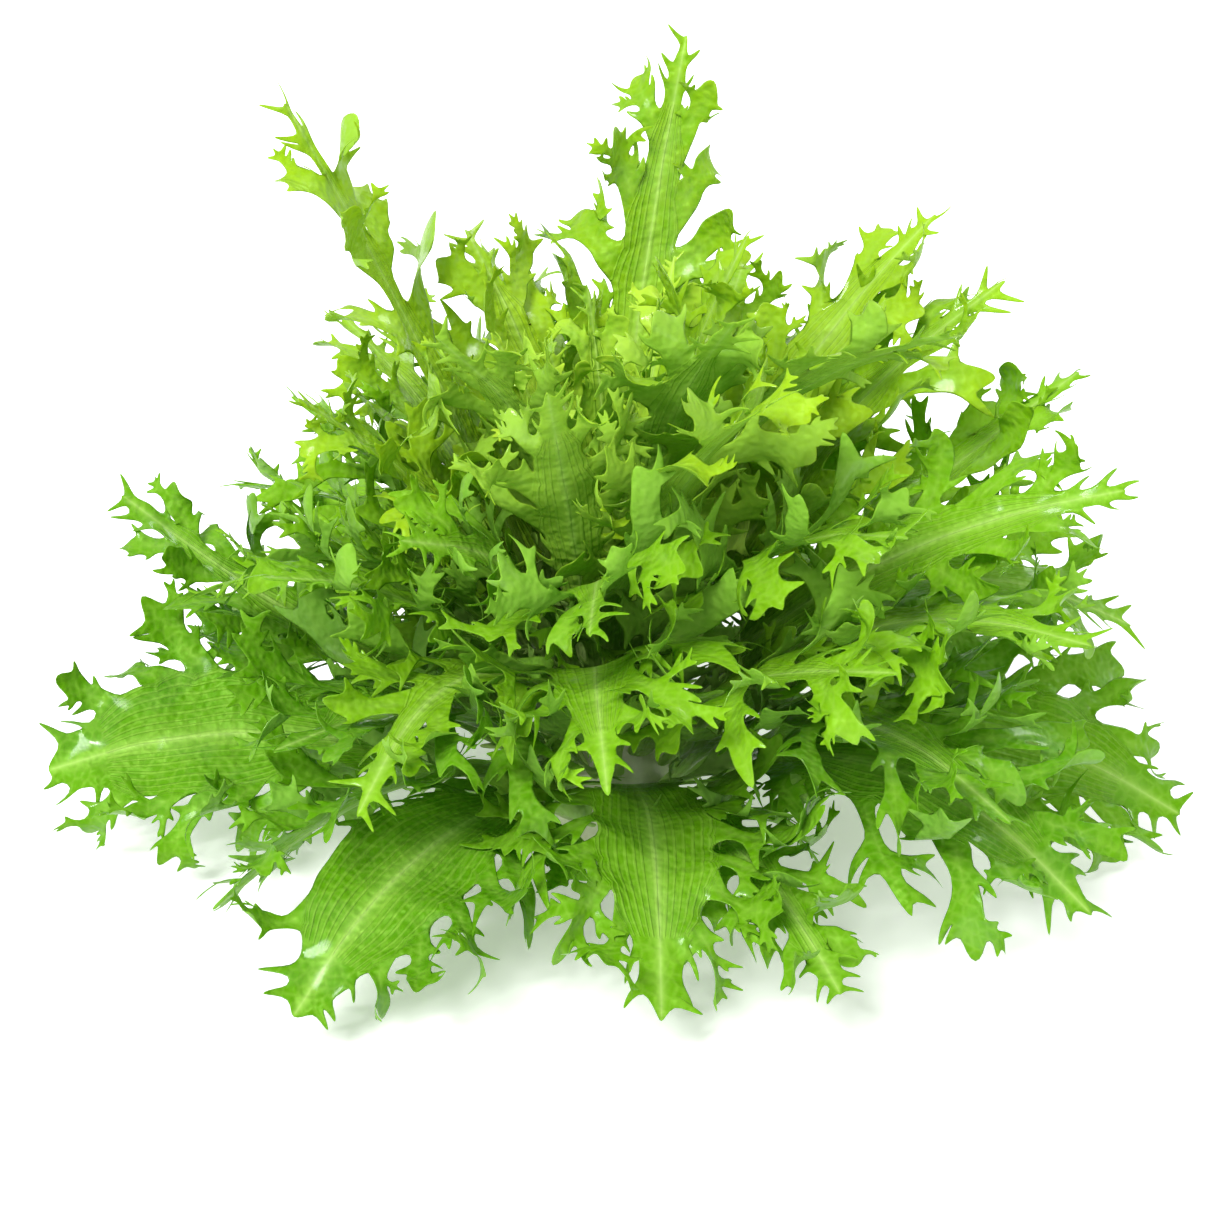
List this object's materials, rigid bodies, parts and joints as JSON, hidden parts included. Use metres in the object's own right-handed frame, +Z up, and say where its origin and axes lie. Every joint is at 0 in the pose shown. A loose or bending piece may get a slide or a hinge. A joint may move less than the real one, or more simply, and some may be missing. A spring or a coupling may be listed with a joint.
{
  "type": "curly endive head",
  "caption": "Head of curly endive: a short cut stem with a spiral of deeply cut, frilled green leaves that form a loose mound.",
  "frame": {"origin": "centre of the stem's cut face, which the head stands on", "axes": "+Z up along the stem, X across the pictured view, -Y towards the picture's viewer"},
  "size_m": [0.3134, 0.2671, 0.2077],
  "materials": {
    "outer_leaf": "fresh leaf, mid green, slightly waxy",
    "middle_leaf": "fresh leaf, bright green, slightly waxy",
    "inner_leaf": "young leaf, yellow-green, slightly waxy",
    "heart_leaf": "pale yellow heart leaf",
    "cut_stem": "pale cut stem, moist"
  },
  "bodies": {
    "root": {"cut_stem": "cut_stem", "heart_leaf_01": "heart_leaf", "heart_leaf_02": "heart_leaf", "heart_leaf_03": "heart_leaf", "heart_leaf_04": "heart_leaf", "heart_leaf_05": "heart_leaf", "heart_leaf_06": "heart_leaf", "heart_leaf_07": "heart_leaf", "inner_leaf_01": "inner_leaf", "inner_leaf_02": "inner_leaf", "inner_leaf_03": "inner_leaf", "inner_leaf_04": "inner_leaf", "inner_leaf_05": "inner_leaf", "inner_leaf_06": "inner_leaf", "inner_leaf_07": "inner_leaf", "inner_leaf_08": "inner_leaf", "inner_leaf_09": "inner_leaf", "inner_leaf_10": "inner_leaf", "inner_leaf_11": "inner_leaf", "inner_leaf_12": "inner_leaf", "inner_leaf_13": "inner_leaf", "inner_leaf_14": "inner_leaf", "inner_leaf_15": "inner_leaf", "middle_leaf_01": "middle_leaf", "middle_leaf_02": "middle_leaf", "middle_leaf_03": "middle_leaf", "middle_leaf_04": "middle_leaf", "middle_leaf_05": "middle_leaf", "middle_leaf_06": "middle_leaf", "middle_leaf_07": "middle_leaf", "middle_leaf_08": "middle_leaf", "middle_leaf_09": "middle_leaf", "middle_leaf_10": "middle_leaf", "middle_leaf_11": "middle_leaf", "middle_leaf_12": "middle_leaf", "middle_leaf_13": "middle_leaf", "middle_leaf_14": "middle_leaf", "middle_leaf_15": "middle_leaf", "middle_leaf_16": "middle_leaf", "middle_leaf_17": "middle_leaf", "middle_leaf_18": "middle_leaf", "middle_leaf_19": "middle_leaf", "middle_leaf_20": "middle_leaf", "middle_leaf_21": "middle_leaf", "outer_leaf_01": "outer_leaf", "outer_leaf_02": "outer_leaf", "outer_leaf_03": "outer_leaf", "outer_leaf_04": "outer_leaf", "outer_leaf_05": "outer_leaf", "outer_leaf_06": "outer_leaf", "outer_leaf_07": "outer_leaf", "outer_leaf_08": "outer_leaf", "outer_leaf_09": "outer_leaf", "outer_leaf_10": "outer_leaf", "outer_leaf_11": "outer_leaf", "outer_leaf_12": "outer_leaf", "outer_leaf_13": "outer_leaf", "outer_leaf_14": "outer_leaf", "outer_leaf_15": "outer_leaf"}
  },
  "joints": []
}
